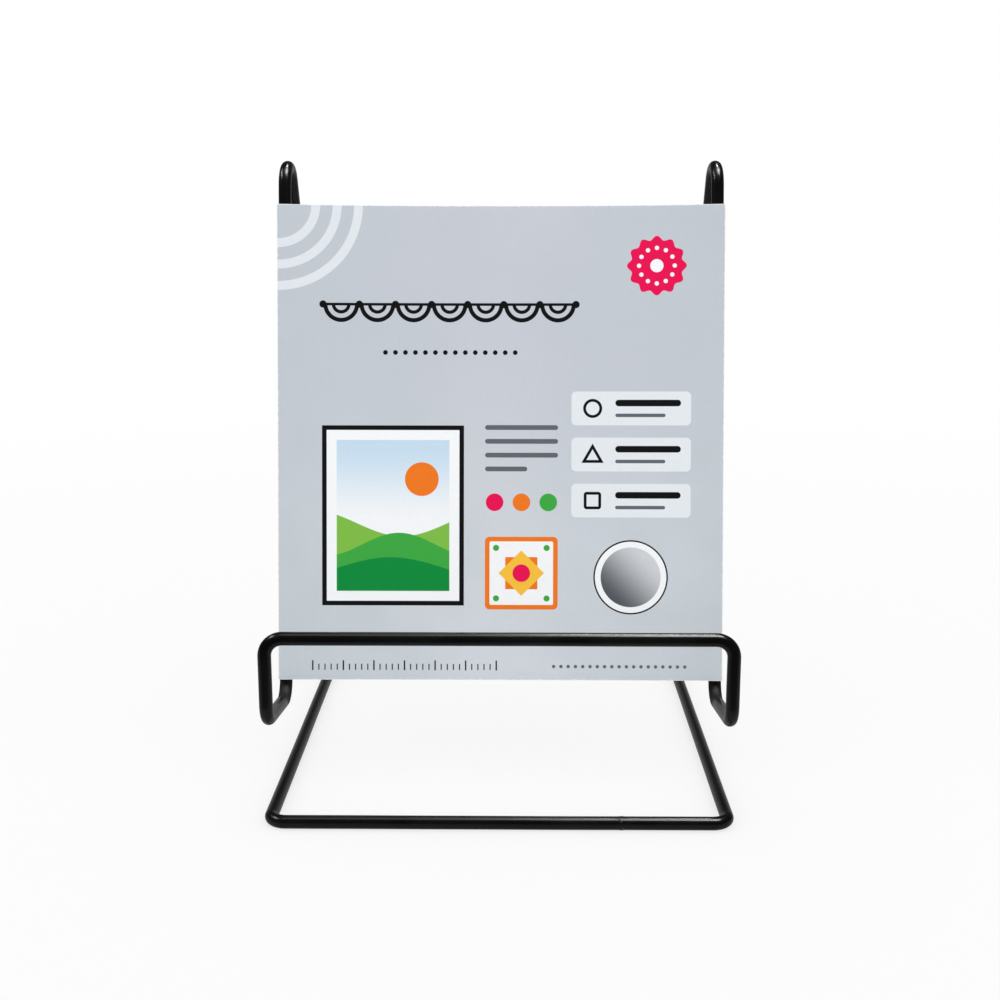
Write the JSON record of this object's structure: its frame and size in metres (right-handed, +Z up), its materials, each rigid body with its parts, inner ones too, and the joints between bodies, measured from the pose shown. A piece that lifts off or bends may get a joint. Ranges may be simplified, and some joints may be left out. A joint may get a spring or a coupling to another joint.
{
  "type": "photo album stand",
  "caption": "Small bent-wire easel in black coated steel: lip bar, two hooked seat rungs, leaning back wires with hairpin tops and a flat base loop, holding a printed display card.",
  "frame": {"origin": "on the table, under the middle of the stand's outer box", "axes": "+Z up, -Y towards the viewer of the picture (the lip bar and the base bar are at the front), +X to the viewer's right"},
  "size_m": [0.116, 0.1441, 0.1615],
  "materials": {
    "coated_wire": "satin black coating on steel wire",
    "printed_card": null
  },
  "bodies": {
    "wire_ring": {"lip_bar": "coated_wire", "left_lip_corner": "coated_wire", "right_lip_corner": "coated_wire", "left_lip_post": "coated_wire", "right_lip_post": "coated_wire", "left_hook_bend": "coated_wire", "right_hook_bend": "coated_wire", "left_seat_rung": "coated_wire", "right_seat_rung": "coated_wire", "left_seat_bend": "coated_wire", "right_seat_bend": "coated_wire", "left_back_wire": "coated_wire", "right_back_wire": "coated_wire", "left_hairpin": "coated_wire", "right_hairpin": "coated_wire", "left_rear_leg": "coated_wire", "right_rear_leg": "coated_wire", "left_heel": "coated_wire", "right_heel": "coated_wire", "left_base_rail": "coated_wire", "right_base_rail": "coated_wire", "left_base_corner": "coated_wire", "right_base_corner": "coated_wire", "left_base_bar": "coated_wire", "right_base_bar": "coated_wire", "butt_weld": "coated_wire"},
    "card": {"display_card": "printed_card"}
  },
  "joints": [
    {"name": "card_lift", "type": "slide", "parent": "wire_ring", "child": "card", "axis": [0, 0.1736, 0.9848], "range_m": [0, 0.14]}
  ]
}
